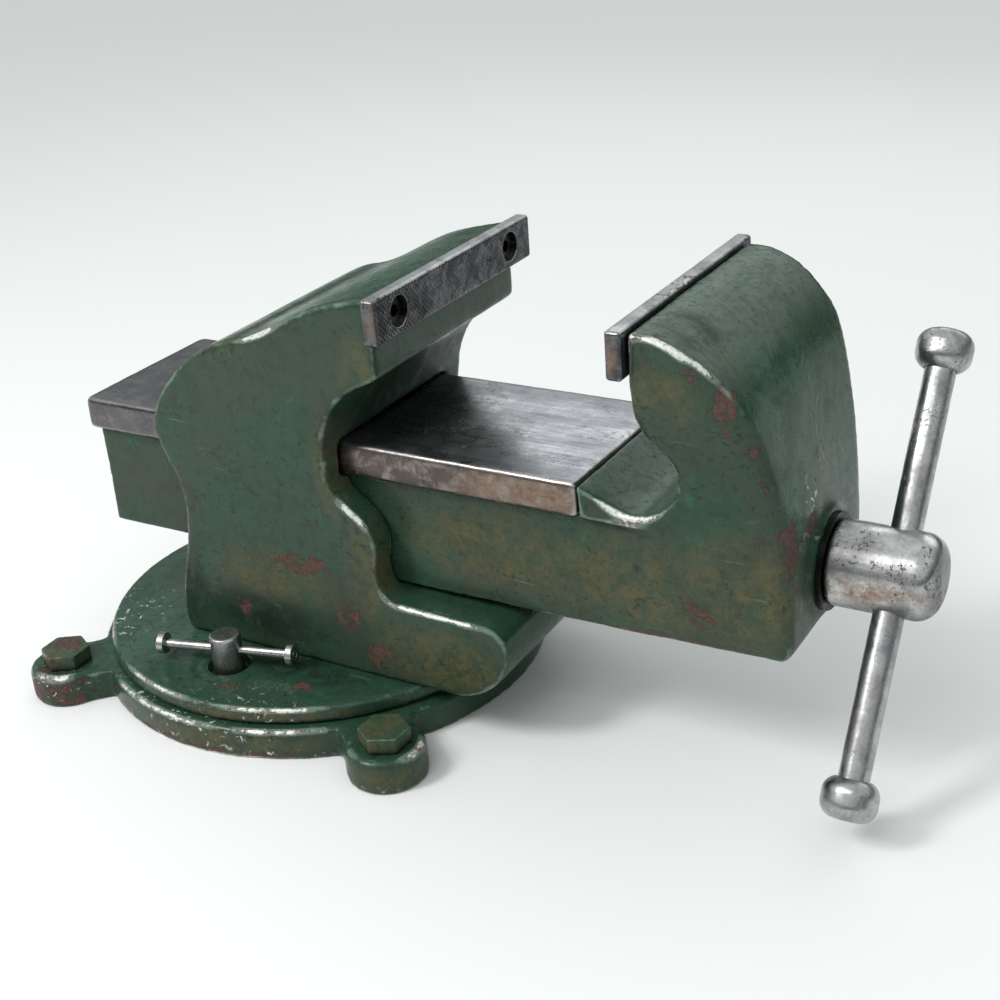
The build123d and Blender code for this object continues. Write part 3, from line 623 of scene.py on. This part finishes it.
def knurled_plate(node, material, grip_x):
    """Jaw plate whose gripping face carries fine crossed ridges."""
    obj = remeshed(node + "_worn", node, KNURL_VOXEL)
    mesh = obj.data
    set_points(mesh, smoothed(points_of(mesh), edges_of(mesh), 3))
    save_curvature(mesh, 8, 0.00028)
    co = points_of(mesh)
    inner = np.clip((GRIP_FACE_REACH - np.abs(co[:, 0] - grip_x)) / GRIP_FACE_FADE, 0, 1)
    turns = (co[:, 1] + co[:, 2]) / KNURL_PITCH, (co[:, 1] - co[:, 2]) / KNURL_PITCH
    valley = np.maximum(*(np.abs((t % 1.0) - 0.5) * 2.0 for t in turns)) ** 3
    press_in(mesh, inner * KNURL_DEPTH * valley + 0.0001 * np.clip(noise_field(co, 90.0, 2), 0, 1))
    finish_piece(obj, material, node)


# ---------------------------------------------------------------- pieces


def make_castings():
    body = green_paint(
        "body_enamel",
        ochre=[
            ((0.066, -0.065, 0.150), (0.010, 0.03, 0.040)),
            ((0.092, -0.065, 0.200), (0.012, 0.03, 0.026)),
            ((0.082, -0.065, 0.090), (0.016, 0.03, 0.036)),
            ((0.120, -0.065, 0.048), (0.048, 0.03, 0.022)),
            ((0.020, -0.065, 0.075), (0.050, 0.03, 0.020)),
        ],
        primer=[
            ((0.040, -0.065, 0.087), (0.024, 0.02, 0.009)),
            ((0.066, -0.065, 0.062), (0.012, 0.02, 0.016)),
            ((-0.006, -0.065, 0.052), (0.010, 0.02, 0.009)),
            ((0.085, -0.065, 0.040), (0.016, 0.02, 0.010)),
            ((-0.040, -0.065, 0.120), (0.010, 0.02, 0.020)),
        ],
        # These zones paint in highlights along the hump's top edge, the cheek edge and the ledge edge, as
        # well as edge wear.
        worn_and_highlit=[
            ((0.030, -0.065, 0.218), (0.022, 0.012, 0.012)),
            ((0.078, -0.065, 0.128), (0.012, 0.012, 0.016)),
            ((0.120, -0.065, 0.076), (0.040, 0.012, 0.010)),
        ],
        rubbed_and_sheen=[((0.060, 0.000, 0.236), (0.050, 0.080, 0.020))],
        soot_and_shade=[
            # Painted shade in the throat under the rear jaw.
            ((0.078, 0.0, 0.168), (0.034, 0.10, 0.030)),
            ((0.010, -0.065, 0.050), (0.050, 0.02, 0.016)),
            ((-0.040, -0.065, 0.060), (0.014, 0.02, 0.030)),
        ],
        foot=0.0277,
    )
    cast_piece("fixed_body", body, 0.0015, 7, CASTING_CURVE, 0.0002, CASTING_UNEVEN)
    jaw = green_paint(
        "jaw_enamel",
        ochre=[
            ((0.250, -0.070, 0.212), (0.024, 0.03, 0.020)),
            ((0.285, -0.052, 0.112), (0.050, 0.03, 0.038)),
            ((0.150, -0.047, 0.108), (0.065, 0.02, 0.026)),
            ((0.225, -0.050, 0.105), (0.065, 0.02, 0.030)),
        ],
        primer=[
            ((0.258, -0.066, 0.241), (0.016, 0.010, 0.004)),
            ((0.266, -0.071, 0.226), (0.010, 0.006, 0.006)),
            ((0.280, -0.066, 0.210), (0.008, 0.012, 0.020)),
            ((0.295, -0.060, 0.178), (0.010, 0.012, 0.026)),
            ((0.303, -0.046, 0.140), (0.010, 0.012, 0.020)),
            ((0.258, -0.050, 0.098), (0.016, 0.020, 0.014)),
            ((0.245, -0.048, 0.078), (0.080, 0.008, 0.006)),
            ((0.306, -0.022, 0.140), (0.012, 0.014, 0.010)),
        ],
        worn_and_highlit=[
            ((0.262, -0.070, 0.236), (0.030, 0.014, 0.020)),
            ((0.225, -0.053, 0.146), (0.028, 0.008, 0.014)),
        ],
        spotted=[
            ((0.306, -0.020, 0.150), (0.012, 0.020, 0.020)),
        ],
        # Painted sheen: the jaw's back is made paler where it catches the light, over some paint rubbing.
        rubbed_and_sheen=[
            ((0.285, -0.020, 0.205), (0.030, 0.045, 0.030)),
            ((0.297, -0.035, 0.165), (0.020, 0.016, 0.040)),
            ((0.300, 0.030, 0.160), (0.030, 0.030, 0.060)),
        ],
        soot_and_shade=[
            ((0.306, 0.0, 0.112), (0.014, 0.042, 0.042)),
            ((0.262, -0.045, 0.238), (0.025, 0.020, 0.010)),
        ],
        wiped=((0.31, -0.01, 0.20), (0.27, 0.03, 0.24), (0.24, 0.02, 0.16)),
    )
    cast_piece("moving_jaw", jaw, 0.0015, 6, CASTING_CURVE, 0.0002, JAW_UNEVEN)
    base = green_paint(
        "base_enamel",
        ochre=[
            ((0.020, -0.128, 0.008), (0.100, 0.03, 0.010)),
            ((0.120, -0.100, 0.008), (0.040, 0.04, 0.010)),
        ],
        primer=[
            ((-0.100, -0.125, 0.008), (0.034, 0.03, 0.020)),
            ((0.005, -0.128, 0.002), (0.120, 0.03, 0.006)),
        ],
        spotted=[
            ((-0.096, -0.128, 0.014), (0.022, 0.03, 0.010)),
            ((0.020, -0.128, 0.002), (0.120, 0.03, 0.006)),
            ((0.000, -0.125, 0.016), (0.080, 0.03, 0.008)),
        ],
        worn_and_highlit=[
            ((-0.030, -0.125, 0.016), (0.060, 0.02, 0.008)),
            ((0.050, -0.115, 0.016), (0.040, 0.02, 0.008)),
            ((0.128, -0.102, 0.018), (0.014, 0.014, 0.006)),
            ((-0.096, -0.128, 0.018), (0.014, 0.014, 0.006)),
            ((0.020, -0.128, 0.000), (0.100, 0.02, 0.003)),
        ],
    )
    cast_piece("swivel_base", base, 0.0014, 7, CASTING_CURVE, 0.0003, CASTING_UNEVEN)
    table = green_paint(
        "table_enamel",
        ochre=[((0.050, -0.110, 0.022), (0.080, 0.03, 0.006))],
        primer=[
            ((0.015, -0.105, 0.028), (0.012, 0.008, 0.01)),
            ((0.050, -0.088, 0.028), (0.012, 0.008, 0.01)),
            ((-0.045, -0.085, 0.028), (0.012, 0.012, 0.01)),
        ],
        # These zones paint in the highlight along the table's rim, as well as edge wear.
        worn_and_highlit=[
            ((-0.030, -0.118, 0.027), (0.040, 0.02, 0.007)),
            ((0.045, -0.112, 0.027), (0.040, 0.02, 0.007)),
            ((-0.090, -0.085, 0.027), (0.020, 0.02, 0.006)),
        ],
        rubbed_and_sheen=[((-0.060, -0.070, 0.028), (0.050, 0.050, 0.01))],
        spotted=[
            ((-0.095, -0.070, 0.027), (0.030, 0.040, 0.01)),
            ((0.040, -0.115, 0.024), (0.060, 0.02, 0.008)),
        ],
        soot_and_shade=[((0.040, -0.075, 0.028), (0.050, 0.014, 0.01))],
        foot=0.0182,
    )
    cast_piece("turntable", table, 0.0012, 5, THIN_CURVE, 0.0002, CASTING_UNEVEN, rings=LOCK_POSTS)
    bolts = green_paint(
        "bolt_enamel",
        ochre=[((0.0, 0.0, 0.022), (0.3, 0.3, 0.03))],
        primer=[((-0.103, -0.109, 0.024), (0.02, 0.02, 0.006))],
        foot=0.0183,
    )
    cast_piece("mounting_bolts", bolts, 0.0005, 3, (5, 0.0002), 0.0001, ((0.0001, 120.0),))


def make_steel_pieces():
    way = steel(
        "slide_steel", (0.50, 0.50, 0.53), (0.31, 0.31, 0.335), 0.25, side=(0.25, 0.215, 0.195),
        streaks=0.40, pits=0.2, brown=0.1, drag=0.2,
        # Painted shade on the slide plate's rear part and on the strip before the rear jaw.
        painted_shade_zones=[
            ((-0.080, 0.0, 0.150), (0.110, 0.10, 0.05)),
            ((0.075, 0.0, 0.157), (0.040, 0.06, 0.01)),
        ],
        brown_zones=[((0.170, -0.052, 0.146), (0.045, 0.01, 0.012))],
    )
    cast_piece("slide_plate", way, 0.0012, 16, THIN_CURVE, 0.0002, ((0.0001, 50.0),))
    # The grip plates' faces that don't face up are dark: partly rust, partly painted shade of the knurling.
    grip = steel(
        "grip_steel", (0.46, 0.46, 0.47), (0.28, 0.28, 0.29), 0.30, side=(0.135, 0.138, 0.145), streaks=0.15,
        brown=0.0, brown_zones=[
            ((0.1095, -0.075, 0.232), (0.006, 0.004, 0.012)),
            ((0.2295, -0.075, 0.232), (0.006, 0.004, 0.012)),
        ],
    )
    knurled_plate("rear_jaw_plate", grip, REAR_GRIP_X)
    knurled_plate("front_jaw_plate", grip, FRONT_GRIP_X)
    bright = steel(
        "polished_steel", (0.50, 0.50, 0.505), (0.28, 0.28, 0.285), 0.27, streaks=0.05, pits=0.45, brown=0.1,
    )
    for node in ("handle_bar", "handle_knob_top", "handle_knob_bottom"):
        cast_piece(node, bright, 0.0007, 4, STEEL_CURVE, 0.0002, ((0.00012, 70.0),))
    hub = steel(
        "hub_steel", (0.64, 0.64, 0.64), (0.34, 0.34, 0.34), 0.25, streaks=0.05, pits=0.7, brown=0.1,
        # Painted reflection: a copper-coloured band on the hub's lower side.
        brown_zones=[((0.330, -0.024, 0.109), (0.045, 0.016, 0.009))],
        # Painted shade on the hub's lower side and its end face.
        painted_shade_zones=[
            ((0.335, -0.014, 0.087), (0.09, 0.030, 0.018)),
            ((0.365, 0.000, 0.106), (0.012, 0.045, 0.045)),
        ],
    )
    cast_piece("lead_screw", hub, 0.0008, 3, STEEL_CURVE, 0.0003)
    for side in ("near", "far"):
        cast_piece("lock_screw_" + side, bright, 0.00045, 3, SMALL_CURVE, 0.0001)
        cast_piece("lock_bar_" + side, bright, 0.0004, 2, SMALL_CURVE)
        cast_piece("lock_bar_caps_" + side, bright, 0.0004, 2, SMALL_CURVE, 0.0001)


def paint_remaining():
    """Gives each CAD node that still shows its material, by its slot."""
    by_slot = {
        "green_paint": green_paint("inner_enamel"),
        "bolt_paint": green_paint("inner_bolt_enamel"),
        "way_steel": steel("inner_way_steel", (0.5, 0.5, 0.52), (0.3, 0.3, 0.31), 0.32),
        "jaw_steel": steel("inner_jaw_steel", (0.22, 0.22, 0.22), (0.10, 0.10, 0.10), 0.40),
        "bright_steel": steel("inner_bright_steel", (0.6, 0.6, 0.6), (0.35, 0.35, 0.35), 0.28),
        "dark_steel": steel("inner_dark_steel", (0.14, 0.14, 0.14), (0.06, 0.06, 0.06), 0.42),
        "bronze": bronze("oiled_bronze"),
    }
    # Near-black steel for the thrust washer, screw bush and jaw-plate screws.
    near_black = steel("near_black_steel", (0.022, 0.021, 0.020), (0.010, 0.010, 0.009), 0.35, brown=0.0)
    for part in frame["record"]["subparts"]:
        node = frame["nodes"][part["node"]]
        if node.hide_render:
            continue
        near_black_part = part["node"] in ("thrust_washer", "screw_bush", "rear_jaw_screws", "front_jaw_screws")
        node.data.materials.clear()
        node.data.materials.append(near_black if near_black_part else by_slot[part["material_slot"]])


def main():
    bpy.context.scene.view_settings.view_transform = "Standard"
    add_camera()
    add_world()
    add_floor()
    for light in LIGHTS:
        add_area_light(*light)
    make_castings()
    make_steel_pieces()
    paint_remaining()


main()
